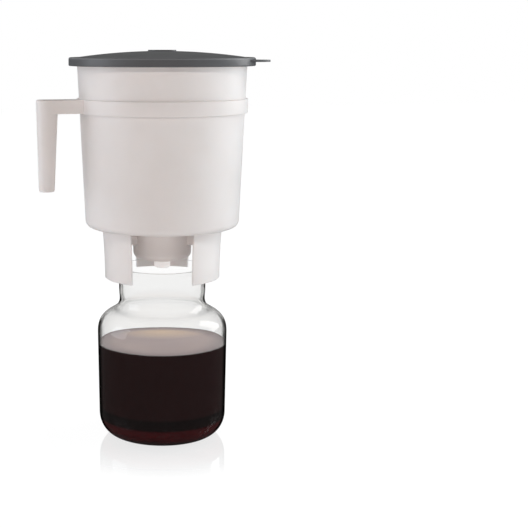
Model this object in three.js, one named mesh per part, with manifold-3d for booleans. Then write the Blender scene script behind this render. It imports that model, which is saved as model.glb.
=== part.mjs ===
// A home cold brew coffee maker: a glass decanter, and a plastic brewing container that stands on its rim.
// Millimetres, +Z up. The origin is the centre of the decanter's base, on the table. The handle points along -X.

import * as THREE from 'three';
import { mergeVertices } from 'three/addons/utils/BufferGeometryUtils.js';
import Module from 'manifold-3d';

const wasm = await Module();
wasm.setup();

// Fits and facets
const seatGap = 0.3; // between a piece and what it rests on or is fixed to
const cutOverrun = 2; // how far a cutter runs past what it cuts
const rootOverlap = 1.2; // how deep one feature of a moulding runs into the next
const largeFacets = 48; // round the decanter, the container and the lid
const smallFacets = 32; // round the filter cup, the grip and the small pieces
const cornerFacets = 2; // half the facets of a rounded corner
const heelFacets = 3; // half the facets of the decanter's heel and lip
const curveFacets = 8; // along a long curve

// Decanter
const heelRadius = 64.9; // the body's radius just above its rounded heel
const heelRun = 18.8; // from the flat that it stands on out to the body
const heelRise = 23.3; // from the table to the top of the heel
const bodyRise = 84.5; // from the heel to the start of the shoulder
const shoulderRadius = 66.0;
const shoulderRise = 34.4; // from the body to the neck
const shoulderCrown = 25.2; // how long the curve leaves the body upright
const neckFillet = 15.5; // how long the curve meets the neck upright
const neckRadius = 43.4;
const neckRise = 25.4; // from the shoulder to the lip
const neckFlare = 0.6;
const lipHeight = 7;
const lipBulge = 0.9;
const glassWall = 2.8;
const glassBase = 5;

// Coffee
const coffeeDepth = 92.2; // from the inside of the base to the surface

// Brewing container
const standRise = 41.4; // from the decanter's rim to the container's underside
const cupHeight = 165.5;
const cupFootRadius = 77;
const cupMouthRadius = 84.1;
const cupWall = 2.4;
const cupFloor = 3;
const cupHeel = 7;
const flangeReach = 5.7;
const flangeThickness = 2.5;
const flangeFillet = 3;
const bandDrop = 37.7; // from the cup's rim to the top of the band
const bandHeight = 14;
const bandProud = 2.6;
const bandEdge = 0.8;

// Filter cup, under the container's floor
const filterCupRadius = 29.8;
const filterCupDepth = 33;
const filterCupDraft = 0.6;
const filterCupWall = 2.2;
const filterCupFloor = 2.4;
const filterCupCorner = 5;
const drainRadius = 5.9;
const padRibs = 6;
const padRibHeight = 2;
const padRibWidth = 1.6;
const padRibInset = 4; // from the drain hole, and from the wall, to the rib's ends

// Collar of legs round the decanter's neck
const legs = 3;
const firstLegAngle = 70; // degrees from +X
const legSpread = 58; // degrees that each leg covers
const legHang = 10.6; // how far the legs reach down past the decanter's rim
const legFlare = 2.3; // how far a leg widens up to the container
const legWall = 2.4;
const legCorner = 1;
const neckClearance = 1.2; // between the neck and the ribs inside the legs
const ribThickness = 3;
const ribStep = 9.7; // width of a rib beside the neck
const ribHang = 6.6; // how far the ribs reach down past the decanter's rim
const ribInset = 5.4; // from the neck's outside in to the end of the seat
const ribHaunch = 9; // height of the slope above the seat's inner end
const ribHaunchRun = 2.5; // width of the slope
const ribHaunchDrop = 17; // from the container's underside to the slope

// Handle
const fingerRoom = 21.7; // between the band and the top of the grip
const gripTopRadius = 10.7;
const gripFootRadius = 7.6;
const gripLength = 88.5;
const gripLean = 1.8; // how far the grip's foot stands out past its top
const gripFootEdge = 1.6;
const armHeight = 13.3;
const armEdge = 0.8;

// Felt filter pad
const padThickness = 12;
const padFit = 0.4; // radial clearance in the filter cup
const padEdge = 1.5;

// Stopper
const stopperLedge = 2.3; // how far the head is wider than the drain hole
const stopperHeadLength = 9.1;
const stopperHeadEdge = 2;
const stopperPlugRise = 1.2; // how far the plug stands above the filter cup's floor
const stopperPlugTaper = 0.5;

// Lid
const lidWall = 2;
const lidFit = 0.4; // radial clearance round the container's flange
const lidDrop = 8.3; // height of the skirt
const lidEdge = 1.2;
const lidRimWidth = 8.2; // of the flat rim round the dome
const domeRise = 6.1;
const lidDiscRadius = 13.9;
const lidDiscRise = 1;
const lidDiscEdge = 0.4;
const tabAngle = -30; // degrees from +X
const tabReach = 14.6;
const tabThickness = 2;
const tabDrop = 3.3; // from the lid's rim to the middle of the tab
const tabRootWidth = 44;
const tabTipWidth = 22;

// Heights and radii that follow from the sizes above
const baseRadius = heelRadius - heelRun;
const shoulderStart = heelRise + bodyRise;
const neckStart = shoulderStart + shoulderRise;
const lipStart = neckStart + neckRise;
const rimHeight = lipStart + lipHeight;
const flaredRadius = neckRadius + neckFlare;
const lipRadius = flaredRadius + lipBulge;
const coffeeLevel = glassBase + coffeeDepth;
const undersideHeight = rimHeight + standRise;
const floorHeight = undersideHeight + cupFloor;
const cupRimHeight = undersideHeight + cupHeight;
const cupSlope = (cupMouthRadius - cupFootRadius) / cupHeight;
const bandTop = cupRimHeight - bandDrop;
const bandFoot = bandTop - bandHeight;
const bandRadius = cupRadiusAt(bandTop) + bandProud;
const flangeRadius = cupMouthRadius + flangeReach;
const filterCupBore = filterCupRadius - filterCupWall;
const filterCupFoot = undersideHeight - filterCupDepth;
const filterCupInside = filterCupFoot + filterCupFloor;
const ribRadius = lipRadius + neckClearance;
const legFootRadius = ribRadius + ribStep + legWall;
const legTopRadius = legFootRadius + legFlare;
const gripReach = bandRadius + fingerRoom + gripTopRadius;
const padFoot = filterCupInside + padRibHeight + seatGap;
const lidUnderside = cupRimHeight + seatGap;
const lidRimHeight = lidUnderside + lidWall;
const lidRadius = flangeRadius + lidFit + lidWall;
const lidFoot = lidRimHeight - lidDrop;
const domeRadius = lidRadius - lidRimWidth;

// Colours and finishes
const glassMaterial = material(0xeef0f0, 0.05, 0);
glassMaterial.transparent = true;
glassMaterial.opacity = 0.35;
const coffeeMaterial = material(0x241412, 0.1, 0);
const whitePlastic = material(0xdcd6d4, 0.45, 0);
const greyPlastic = material(0x4d4e50, 0.5, 0);
const silicone = material(0xeee7e5, 0.6, 0);
const felt = material(0xe6e0d2, 1, 0);

function material(color, roughness, metalness) {
  return new THREE.MeshStandardMaterial({ color, roughness, metalness });
}

// The cup's outer radius at a height above the table.
function cupRadiusAt(z) {
  return cupFootRadius + cupSlope * (z - undersideHeight);
}

// Turns a closed geometry into a solid that can be joined and cut.
function solid(geometry) {
  const bare = geometry.clone();
  bare.deleteAttribute('normal');
  bare.deleteAttribute('uv');
  const merged = mergeVertices(bare);
  const corners = merged.index.array;
  const triVerts = [];
  for (let i = 0; i < corners.length; i += 3) {
    const [a, b, c] = corners.slice(i, i + 3);
    if (a !== b && b !== c && c !== a) triVerts.push(a, b, c);
  }
  return new wasm.Manifold(new wasm.Mesh({
    numProp: 3,
    vertProperties: new Float32Array(merged.attributes.position.array),
    triVerts: new Uint32Array(triVerts),
  }));
}

// A named mesh made from a solid.
function piece(name, body, finish) {
  const { vertProperties, triVerts } = body.getMesh();
  const geometry = new THREE.BufferGeometry();
  geometry.setAttribute('position', new THREE.BufferAttribute(vertProperties, 3));
  geometry.setIndex(new THREE.BufferAttribute(triVerts, 1));
  geometry.computeVertexNormals();
  const mesh = new THREE.Mesh(geometry, finish.clone());
  mesh.name = name;
  return mesh;
}

// A body turned about Z. The outline's x is the radius and its y is the height, and it runs anticlockwise:
// out along the bottom, up the outside and back down the inside.
function turned(outline, facets, cornerSteps = cornerFacets) {
  const geometry = new THREE.LatheGeometry(outline.getPoints(cornerSteps), facets);
  geometry.rotateX(Math.PI / 2);
  return solid(geometry);
}

// Adds a rounded corner to an outline, with a straight run up to its start. Angles are in quarter turns.
function addCorner(outline, x, y, xRadius, yRadius, start, end) {
  const [from, to] = [start, end].map((quarters) => (quarters * Math.PI) / 2);
  outline.lineTo(x + xRadius * Math.cos(from), y + yRadius * Math.sin(from));
  outline.absellipse(x, y, xRadius, yRadius, from, to, to < from);
}

// A flat outline in X and Y, extruded upwards from a height.
function raised(outline, foot, height) {
  const geometry = new THREE.ExtrudeGeometry(outline, {
    depth: height,
    bevelEnabled: false,
    curveSegments: smallFacets / 2,
  });
  geometry.translate(0, 0, foot);
  return solid(geometry);
}

// A plate that stands in the XZ plane, from an outline whose x is the radius and whose y is the height.
function standingPlate(outline, thickness) {
  const geometry = new THREE.ExtrudeGeometry(outline, { depth: thickness, bevelEnabled: false });
  geometry.rotateX(Math.PI / 2);
  geometry.translate(0, thickness / 2, 0);
  return geometry;
}

function rotatedAboutZ(geometry, degrees) {
  return geometry.clone().rotateZ(THREE.MathUtils.degToRad(degrees));
}

// Adds a long curve to an outline as points, so that it gets its own number of facets.
function addCurve(outline, curve) {
  for (const point of curve.getPoints(curveFacets).slice(1)) outline.lineTo(point.x, point.y);
}

// The decanter's outline at a depth under its outer surface: from the axis, out along the base and up to the lip.
function decanterOutline(depth, foot) {
  const outline = new THREE.Path();
  outline.moveTo(0, foot);
  addCorner(outline, baseRadius, heelRise, heelRun - depth, heelRise - foot, -1, 0);
  const lowered = depth / 2;
  outline.lineTo(shoulderRadius - depth, shoulderStart - lowered);
  addCurve(outline, new THREE.CubicBezierCurve(
    new THREE.Vector2(shoulderRadius - depth, shoulderStart - lowered),
    new THREE.Vector2(shoulderRadius - depth, shoulderStart + shoulderCrown - lowered),
    new THREE.Vector2(neckRadius - depth, neckStart - neckFillet - lowered),
    new THREE.Vector2(neckRadius - depth, neckStart),
  ));
  outline.lineTo(flaredRadius - depth, neckStart + neckRise / 2);
  outline.lineTo(flaredRadius - depth, lipStart);
  return outline;
}

// The space inside the decanter, up past its rim.
function decanterBore(depth, foot) {
  const outline = decanterOutline(depth, foot);
  outline.lineTo(flaredRadius - depth, rimHeight + cutOverrun);
  outline.lineTo(0, rimHeight + cutOverrun);
  return turned(outline, largeFacets, heelFacets);
}

function decanter() {
  const outline = decanterOutline(0, 0);
  const lipRound = glassWall / 2;
  outline.lineTo(lipRadius, lipStart + lipHeight / 2);
  addCorner(outline, lipRadius - lipRound, rimHeight - lipRound, lipRound, lipRound, 0, 1);
  outline.lineTo(0, rimHeight);
  return turned(outline, largeFacets, heelFacets).subtract(decanterBore(glassWall, glassBase));
}

function coffee() {
  const width = (shoulderRadius + cutOverrun) * 2;
  const level = new THREE.BoxGeometry(width, width, coffeeLevel);
  level.translate(0, 0, coffeeLevel / 2);
  return decanterBore(glassWall + seatGap, glassBase + seatGap).intersect(solid(level));
}

// The tapered cup, with its floor, its raised band and its rim flange.
function brewingCup() {
  const outline = new THREE.Path();
  const heelMiddle = undersideHeight + cupHeel;
  outline.moveTo(filterCupBore, undersideHeight);
  addCorner(outline, cupRadiusAt(heelMiddle) - cupHeel, heelMiddle, cupHeel, cupHeel, -1, 0);
  outline.lineTo(cupRadiusAt(bandFoot), bandFoot);
  outline.lineTo(bandRadius, bandFoot);
  outline.lineTo(bandRadius, bandTop - bandEdge);
  outline.lineTo(bandRadius - bandEdge, bandTop);
  outline.lineTo(cupRadiusAt(bandTop), bandTop);
  const flangeFoot = cupRimHeight - flangeThickness;
  outline.lineTo(cupRadiusAt(flangeFoot - flangeFillet), flangeFoot - flangeFillet);
  outline.lineTo(cupMouthRadius + flangeFillet, flangeFoot);
  outline.lineTo(flangeRadius, flangeFoot);
  outline.lineTo(flangeRadius, cupRimHeight);
  outline.lineTo(cupMouthRadius - cupWall, cupRimHeight);
  const innerHeel = cupHeel - Math.min(cupWall, cupHeel / 2);
  const innerMiddle = floorHeight + innerHeel;
  addCorner(outline, cupRadiusAt(innerMiddle) - cupWall - innerHeel, innerMiddle, innerHeel, innerHeel, 0, -1);
  outline.lineTo(filterCupBore, floorHeight);
  outline.lineTo(filterCupBore, undersideHeight);
  return turned(outline, largeFacets);
}

// The cup that holds the felt pad: a drain hole in its floor, and ribs that hold the pad clear of it.
function filterCup() {
  const outline = new THREE.Path();
  const footRadius = filterCupRadius - filterCupDraft;
  const innerRadius = footRadius - filterCupWall;
  const corner = filterCupCorner;
  const innerCorner = corner - Math.min(filterCupWall, corner / 2);
  outline.moveTo(drainRadius, filterCupFoot);
  addCorner(outline, footRadius - corner, filterCupFoot + corner, corner, corner, -1, 0);
  outline.lineTo(filterCupRadius, undersideHeight);
  outline.lineTo(filterCupBore, undersideHeight);
  const innerMiddle = filterCupInside + innerCorner;
  addCorner(outline, innerRadius - innerCorner, innerMiddle, innerCorner, innerCorner, 0, -1);
  outline.lineTo(drainRadius, filterCupInside);
  outline.lineTo(drainRadius, filterCupFoot);
  let cup = turned(outline, smallFacets);

  const ribStart = drainRadius + padRibInset;
  const ribLength = innerRadius - padRibInset - ribStart;
  const rib = new THREE.BoxGeometry(ribLength, padRibWidth, padRibHeight + rootOverlap);
  rib.translate(ribStart + ribLength / 2, 0, filterCupInside + (padRibHeight - rootOverlap) / 2);
  for (let i = 0; i < padRibs; i += 1) cup = cup.add(solid(rotatedAboutZ(rib, (i * 360) / padRibs)));
  return cup;
}

// One leg of the collar: a curved wall, and a rib on its inside that seats on the decanter's rim.
function collarLeg(angle) {
  const foot = rimHeight - legHang;
  const waist = new THREE.QuadraticBezierCurve(
    new THREE.Vector2(legFootRadius, foot + legCorner),
    new THREE.Vector2(legFootRadius, (foot + undersideHeight) / 2),
    new THREE.Vector2(legTopRadius, undersideHeight),
  );
  const outline = new THREE.Path();
  outline.moveTo(legFootRadius - legCorner, foot);
  outline.lineTo(legFootRadius, foot + legCorner);
  const outside = waist.getPoints(curveFacets / 2);
  for (const point of outside) outline.lineTo(point.x, point.y);
  for (const point of outside.reverse()) outline.lineTo(point.x - legWall, point.y);
  outline.lineTo(legFootRadius - legWall, foot);
  outline.lineTo(legFootRadius - legCorner, foot);
  const collar = turned(outline, largeFacets);

  const sector = new THREE.Shape();
  const cutterRadius = legTopRadius * 2;
  const halfSpread = THREE.MathUtils.degToRad(legSpread / 2);
  const middle = THREE.MathUtils.degToRad(angle);
  sector.moveTo(0, 0);
  for (const turn of [-halfSpread, 0, halfSpread]) {
    sector.lineTo(cutterRadius * Math.cos(middle + turn), cutterRadius * Math.sin(middle + turn));
  }
  const sectorHeight = undersideHeight - foot + cutOverrun * 2;
  const wall = collar.intersect(raised(sector, foot - cutOverrun, sectorHeight));
  return wall.add(solid(rotatedAboutZ(seatRib(), angle)));
}

// The rib inside a leg, drawn along +X. It seats on the rim and steps out round the decanter's lip.
function seatRib() {
  const inner = filterCupRadius + seatGap;
  const seat = rimHeight + seatGap;
  const seatStart = Math.max(inner, neckRadius - ribInset);
  const slopeTop = undersideHeight - ribHaunchDrop;
  const foot = rimHeight - ribHang;
  const root = rootOverlap - legWall; // from a leg's outside in to where the rib ends
  const outline = new THREE.Shape();
  outline.moveTo(inner, undersideHeight);
  outline.lineTo(inner, slopeTop);
  outline.lineTo(Math.max(inner, seatStart - ribHaunchRun), slopeTop);
  outline.lineTo(seatStart, Math.max(slopeTop - ribHaunch, seat + ribThickness));
  outline.lineTo(seatStart, seat);
  outline.lineTo(ribRadius, seat);
  outline.lineTo(ribRadius, foot);
  outline.lineTo(legFootRadius + root, foot);
  outline.lineTo(legTopRadius + root, undersideHeight);
  return standingPlate(outline, ribThickness);
}

// The arm runs out from the band, and the grip hangs from its end, open at the bottom.
function handle() {
  const armFoot = bandTop - armHeight;
  const armHalfWidth = gripTopRadius - armEdge;
  const plan = new THREE.Shape();
  plan.moveTo(-bandRadius / 2, -armHalfWidth);
  plan.lineTo(-bandRadius / 2, armHalfWidth);
  plan.lineTo(-gripReach, armHalfWidth);
  plan.absarc(-gripReach, 0, armHalfWidth, Math.PI / 2, (Math.PI * 3) / 2);
  const armGeometry = new THREE.ExtrudeGeometry(plan, {
    depth: armHeight - armEdge * 2,
    bevelSize: armEdge,
    bevelThickness: armEdge,
    bevelSegments: 1,
    curveSegments: smallFacets / 2,
  });
  armGeometry.translate(0, 0, armFoot + armEdge);
  const bandCut = new THREE.CylinderGeometry(
    bandRadius + seatGap,
    bandRadius + seatGap,
    armHeight + cutOverrun * 2,
    largeFacets,
  );
  bandCut.rotateX(Math.PI / 2);
  bandCut.translate(0, 0, armFoot + armHeight / 2);
  const arm = solid(armGeometry).subtract(solid(bandCut));

  const gripRoot = bandTop - armHeight + armEdge + rootOverlap;
  const gripFoot = bandTop - gripLength;
  const taper = (gripTopRadius - gripFootRadius) / gripLength;
  const grip = new THREE.Path();
  grip.moveTo(0, gripFoot);
  grip.lineTo(gripFootRadius - gripFootEdge, gripFoot);
  grip.lineTo(gripFootRadius, gripFoot + gripFootEdge);
  grip.lineTo(gripTopRadius - taper * (bandTop - gripRoot), gripRoot);
  grip.lineTo(0, gripRoot);
  const gripGeometry = new THREE.LatheGeometry(grip.getPoints(), smallFacets);
  gripGeometry.rotateX(Math.PI / 2);
  gripGeometry.translate(0, 0, -bandTop);
  gripGeometry.applyMatrix4(new THREE.Matrix4().makeShear(0, 0, 0, 0, gripLean / gripLength, 0));
  gripGeometry.translate(-gripReach, 0, bandTop);
  return arm.add(solid(gripGeometry));
}

function feltPad() {
  const outline = new THREE.Path();
  const radius = filterCupBore - filterCupDraft - padFit;
  outline.moveTo(0, padFoot);
  outline.lineTo(radius - padEdge, padFoot);
  outline.lineTo(radius, padFoot + padEdge);
  outline.lineTo(radius, padFoot + padThickness - padEdge);
  outline.lineTo(radius - padEdge, padFoot + padThickness);
  outline.lineTo(0, padFoot + padThickness);
  return turned(outline, smallFacets);
}

// A tapered plug in the drain hole, on a head that is gripped to pull it out.
function stopper() {
  const headTop = filterCupFoot - seatGap;
  const headFoot = headTop - stopperHeadLength;
  const plugRadius = drainRadius - seatGap;
  const headRadius = drainRadius + stopperLedge;
  const edge = stopperHeadEdge;
  const outline = new THREE.Path();
  outline.moveTo(0, headFoot);
  addCorner(outline, headRadius - edge, headFoot + edge, edge, edge, -1, 0);
  outline.lineTo(headRadius, headTop);
  outline.lineTo(plugRadius, headTop);
  outline.lineTo(plugRadius - stopperPlugTaper, filterCupInside + stopperPlugRise);
  outline.lineTo(0, filterCupInside + stopperPlugRise);
  return turned(outline, smallFacets);
}

// A shallow dome over a flat rim and a short skirt, with a disc in the middle and a tab for the thumb.
function lid() {
  const crown = lidRimHeight + domeRise;
  const outline = new THREE.Path();
  const skirtBore = lidRadius - lidWall;
  outline.moveTo(0, crown - lidWall);
  addCurve(outline, new THREE.QuadraticBezierCurve(
    new THREE.Vector2(0, crown - lidWall),
    new THREE.Vector2(domeRadius / 2, crown - lidWall),
    new THREE.Vector2(domeRadius, lidUnderside),
  ));
  outline.lineTo(skirtBore, lidUnderside);
  outline.lineTo(skirtBore, lidFoot);
  outline.lineTo(lidRadius - lidEdge, lidFoot);
  outline.lineTo(lidRadius, lidFoot + lidEdge);
  addCorner(outline, lidRadius - lidEdge, lidRimHeight - lidEdge, lidEdge, lidEdge, 0, 1);
  outline.lineTo(domeRadius, lidRimHeight);
  addCurve(outline, new THREE.QuadraticBezierCurve(
    new THREE.Vector2(domeRadius, lidRimHeight),
    new THREE.Vector2(domeRadius / 2, crown),
    new THREE.Vector2(0, crown),
  ));
  const shell = turned(outline, largeFacets);

  const disc = new THREE.Path();
  const discTop = crown + lidDiscRise;
  disc.moveTo(0, crown - lidWall / 2);
  disc.lineTo(lidDiscRadius, crown - lidWall / 2);
  disc.lineTo(lidDiscRadius, discTop - lidDiscEdge);
  disc.lineTo(lidDiscRadius - lidDiscEdge, discTop);
  disc.lineTo(0, discTop);

  const halfRoot = tabRootWidth / 2;
  const halfTip = tabTipWidth / 2;
  const middle = lidRadius - lidWall / 2;
  const root = Math.sqrt(middle ** 2 - halfRoot ** 2);
  const tip = lidRadius + tabReach;
  const tab = new THREE.Shape();
  tab.moveTo(root, -halfRoot);
  tab.bezierCurveTo(middle, -halfRoot, tip, -halfTip, tip, 0);
  tab.bezierCurveTo(tip, halfTip, middle, halfRoot, root, halfRoot);
  tab.lineTo(middle, 0);
  const tabGeometry = new THREE.ExtrudeGeometry(tab, {
    depth: tabThickness,
    bevelEnabled: false,
    curveSegments: curveFacets,
  });
  tabGeometry.translate(0, 0, lidRimHeight - tabDrop - tabThickness / 2);
  return shell.add(turned(disc, smallFacets)).add(solid(rotatedAboutZ(tabGeometry, tabAngle)));
}

const maker = new THREE.Group();
maker.add(piece('decanter', decanter(), glassMaterial));
maker.add(piece('coffee', coffee(), coffeeMaterial));
maker.add(piece('brewing_cup', brewingCup(), whitePlastic));
maker.add(piece('filter_cup', filterCup(), whitePlastic));
maker.add(piece('handle', handle(), whitePlastic));
for (let i = 0; i < legs; i += 1) {
  maker.add(piece(`collar_leg_${i + 1}`, collarLeg(firstLegAngle + (i * 360) / legs), whitePlastic));
}
maker.add(piece('felt_pad', feltPad(), felt));
maker.add(piece('stopper', stopper(), silicone));
maker.add(piece('lid', lid(), greyPlastic));

export default maker;
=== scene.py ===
"""A cold brew coffee maker: its plastic container, lid, felt pad, stopper, glass decanter and coffee.

Outlines are in millimetres, in the frame's own axes, and are scaled to metres as the meshes are made.
"""

import math

import bmesh
import bpy
from mathutils import Matrix, Vector, noise


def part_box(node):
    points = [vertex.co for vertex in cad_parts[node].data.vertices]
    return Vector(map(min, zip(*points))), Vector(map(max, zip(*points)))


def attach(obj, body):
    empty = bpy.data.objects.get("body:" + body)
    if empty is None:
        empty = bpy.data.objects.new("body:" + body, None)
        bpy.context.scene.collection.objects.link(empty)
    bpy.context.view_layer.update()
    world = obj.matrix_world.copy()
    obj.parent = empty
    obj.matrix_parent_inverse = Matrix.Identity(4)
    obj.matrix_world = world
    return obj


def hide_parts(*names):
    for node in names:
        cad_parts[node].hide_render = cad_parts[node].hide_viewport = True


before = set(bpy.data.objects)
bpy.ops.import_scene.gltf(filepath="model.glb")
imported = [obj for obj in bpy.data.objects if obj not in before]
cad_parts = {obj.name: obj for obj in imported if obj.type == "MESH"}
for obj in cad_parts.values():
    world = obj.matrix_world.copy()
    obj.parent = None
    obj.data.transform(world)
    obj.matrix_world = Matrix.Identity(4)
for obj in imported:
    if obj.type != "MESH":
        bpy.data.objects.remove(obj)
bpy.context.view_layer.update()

MM = 0.001
ROUND_STEPS = 192
SMALL_STEPS = 96
CORNER_STEPS = 6
LEG_STEPS = 48
DOME_STEPS = 40
SHARP_ANGLE = math.radians(32)
MERGE_DISTANCE = 0.001


# Sizes read from the frame, in millimetres
def low(node):
    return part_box(node)[0] / MM


def high(node):
    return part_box(node)[1] / MM


RIM_Z = high("decanter").z
BODY_R = high("decanter").x
COFFEE_Z = high("coffee").z
UNDERSIDE_Z = high("filter_cup").z
CUP_RIM_Z = high("brewing_cup").z
FLANGE_R = high("brewing_cup").x
FILTER_CUP_R = high("filter_cup").y
FILTER_CUP_Z = low("filter_cup").z
LEG_FOOT_Z = low("collar_leg_1").z
GRIP_FOOT_Z = low("handle").z
HANDLE_TOP_Z = high("handle").z
HANDLE_END_X = low("handle").x
PAD_R = high("felt_pad").y
PAD_FOOT_Z = low("felt_pad").z
PAD_TOP_Z = high("felt_pad").z
STOPPER_R = high("stopper").y
STOPPER_FOOT_Z = low("stopper").z
STOPPER_TOP_Z = high("stopper").z
LID_R = high("lid").y
LID_FOOT_Z = low("lid").z
LID_TOP_Z = high("lid").z

# How far one part reaches into another that it is fused with, and the gap between pieces that only touch
ROOT_OVERLAP = 1.0
SEAT_GAP = 0.3

# Decanter: sizes that the frame doesn't say
HEEL_R = 64.9
HEEL_RUN = 18.8
HEEL_RISE = 23.3
SHOULDER_Z = 107.8
SHOULDER_RISE = 34.4
SHOULDER_CROWN = 25.2
NECK_FILLET = 15.5
NECK_R = 43.4
NECK_FLARE = 0.6
FLARE_START = 4.0
FLARE_EASE = 5.0
FLARE_END = 11.0
LIP_BULGE = 0.9
LIP_HEIGHT = 7.0
GLASS_BASE = 5.0
HEEL_WALL = 2.8
SHOULDER_WALL = 1.3
WAIST_WALL = 2.6
NECK_WALL = 2.2
RIM_WALL = 1.2
# The glass wall's thickness at each height: thin where it was blown out at the shoulder
WALL_KNOTS = (
    (0, HEEL_WALL),
    (30, 2.2),
    (85, 1.7),
    (105, SHOULDER_WALL),
    (128, SHOULDER_WALL),
    (137, WAIST_WALL),
    (147, NECK_WALL),
    (RIM_Z - 16, NECK_WALL),
    (RIM_Z - 5, RIM_WALL),
)
# How far the glass turns from the eye before it darkens, and how steep its normal is where that ends
DARK_START = 0.65
DARK_FULL = 0.79
UPRIGHT_START = 0.42
UPRIGHT_END = 0.66
# Where the glass's dark outlines grow paler: from the shoulder to the neck, and just under the rim
PALE_START_Z = 118
PALE_NECK_Z = 130
PALE_NECK_SHARE = 0.6
CLEAR_START_Z = RIM_Z - 6
CLEAR_RIM_Z = RIM_Z - 3

# Coffee: how far it reaches into the glass, and the rounded edge where it climbs the wall
COFFEE_WETTING = 0.1
COFFEE_CLIMB = 0.5
CLIMB_ROOM = 1
CLIMB_RUN = 7.0
CLIMB_STEPS = 12
SURFACE_RINGS = 10
TOP_FACE_DEPTH = 0.1
# Its colours, at shares of the height from the glass base's top to COFFEE_TONES_Z: a painted red glow low
# down, standing for light through the flat base, between darker bands
COFFEE_TONES_Z = 32
COFFEE_TONES = (
    (0.0, (0.014, 0.004, 0.004)),
    (0.12, (0.040, 0.005, 0.006)),
    (0.3, (0.049, 0.005, 0.006)),
    (0.45, (0.045, 0.005, 0.006)),
    (0.58, (0.007, 0.0035, 0.0035)),
    (0.86, (0.006, 0.0035, 0.0035)),
    (1.0, (0.0170, 0.0062, 0.0062)),
)
# Its top: a warm patch of painted reflection, in metres, and the radii between which painted shade darkens
# it towards the glass
REFLECTION_PATCH_CENTRE = (0.014, 0.038, 0.0)
REFLECTION_PATCH_SIZE = (0.05, 0.036, 1.0)
SHADE_START_R = 45
SHADE_FULL_R = 64

# Cup and filter cup
CUP_FOOT_R = 77.0
CUP_MOUTH_R = 84.1
CUP_WALL = 2.4
CUP_FLOOR = 3.0
CUP_HEEL_ROUND = 7.0
CUP_FLOOR_ROUND = 4.6
CUP_RIM_EDGE = 1.1
CUP_MOUTH_EDGE = 1.0
BAND_DROP = 37.7
BAND_HEIGHT = 14.0
BAND_PROUD = 2.6
BAND_TOP_EDGE = 1.1
BAND_FOOT_EDGE = 0.5
BAND_TOP_FILLET = 0.5
BAND_FOOT_FILLET = 0.3
FLANGE_DEPTH = 2.5
FLANGE_SWEEP = 2.0
FLANGE_EDGE = 0.8
DRAIN_R = 5.9
DRAIN_EDGE = 0.4
FILTER_WALL = 2.2
FILTER_FLOOR = 2.4
FILTER_DRAFT = 0.6
FILTER_FOOT_ROUND = 7.5
FILTER_FLOOR_ROUND = 2.8
FILTER_MOUTH_EDGE = 0.8
FILTER_ROOT_FILLET = 0.8

# Collar's legs, and the ribs inside them that step out round the decanter's lip
LEG_ANGLES = (70.0, 190.0, 310.0)
LEG_SPREAD = 58.0
LEG_FOOT_R = 58.2
LEG_FLARE = 2.3
LEG_WALL = 2.4
LEG_LAND = 1.2
LEG_FLARE_STEPS = 12
LEG_INNER_EDGE = 0.7
LEG_OUTER_EDGE = 1.1
LEG_SIDE_EDGE = 0.45
LEG_SIDE_ANGLE = 50
RIB_THICKNESS = 3.0
RIB_EDGE = 0.35
RIB_PAST_LIP = 1.2
RIB_HANG = 6.6
RIB_INSET = 5.4
RIB_IN_LEG = 1.2
HAUNCH_RUN = 2.5
HAUNCH_TOP_DROP = 17
HAUNCH_FOOT_DROP = 26

# Ribs that hold the pad off the filter cup's floor
PAD_RIB_COUNT = 6
PAD_RIB_HEIGHT = 2
PAD_RIB_THICKNESS = 1.6
PAD_RIB_END_GAP = 4
PAD_RIB_EDGE = 0.6

# Handle
GRIP_TOP_R = 10.7
GRIP_FOOT_R = 7.6
GRIP_LEAN = 1.8
GRIP_FOOT_EDGE = 1.5
GRIP_TOP_EDGE = 0.9
ARM_HEIGHT = 13.3
ARM_SINK = 0.05
ARM_IN_BAND = 0.5
ARM_FOOT_INSET = 0.56
ARM_TOP_INSET = 0.1
ARM_EDGE = 0.8

# Lid, with its disc and its tab
LID_WALL = 2.0
LID_RIM_WIDTH = 8.2
LID_TOP_EDGE = 1.9
LID_FOOT_EDGE = 1.0
LID_MOUTH_EDGE = 0.6
LID_INNER_ROUND = 0.8
DOME_RISE = 6.1
DISC_R = 13.9
DISC_RISE = 1.0
DISC_EDGE = 0.45
DISC_FILLET = 0.15
DISC_FOOT_DROP = 0.12
DISC_BLEND_RUN = 2
DISC_BLEND_DROP = 0.16
DISC_CLEAR = 1
TAB_ANGLE = -30.0
TAB_REACH = 14.6
TAB_ROOT = 44.0
TAB_TIP = 22.0
TAB_THICKNESS = 2.0
TAB_DROP = 3.3
TAB_EDGE = 0.6
LID_RIM_Z = LID_TOP_Z - DISC_RISE - DOME_RISE
# The painted highlight along the lid's top edge: how far under the rim's top it starts, is full, fades and
# ends
EDGE_HIGHLIGHT_START = 2.0
EDGE_HIGHLIGHT_FULL = 1.0
EDGE_HIGHLIGHT_FADE = 0.5
EDGE_HIGHLIGHT_END = 0.1

# Stopper: a grooved head and a tapered plug
STOPPER_DRAFT = 0.3
STOPPER_FOOT_ROUND = 2.2
STOPPER_EDGE = 0.4
GROOVE_DEPTH = 0.9
GROOVE_FOOT_DROP = 3.0
GROOVE_FLOOR_DROP = 2.2
GROOVE_CEILING_DROP = 1.6
GROOVE_TOP_DROP = 1.1
GROOVE_FOOT_EDGE = 0.6
PLUG_TAPER = 0.5
PLUG_EDGE = 0.5
PLUG_ROOT_FILLET = 0.2

# Felt pad: the room that its uneven surface needs inside the solid, and its waves per metre
PAD_ROOM = 0.3
PAD_EDGE = 2.2
PAD_EDGE_STEPS = 8
PAD_RINGS = 16
FELT_WAVES = 260
FELT_LIFT = 0.22
FELT_DEEPEST = -0.3
FELT_HIGHEST = 0.25

# View, in metres and degrees, with the column of the picture where the axis stands
VIEW_AZIMUTH = -20.0
VIEW_DISTANCE = 1.2
VIEW_HEIGHT = 0.3955
VIEW_PITCH = 10.34
VIEW_LENS = 81.8
SENSOR_WIDTH = 36
FRAME_WIDTH = 528
AXIS_COLUMN = 162.2

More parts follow.
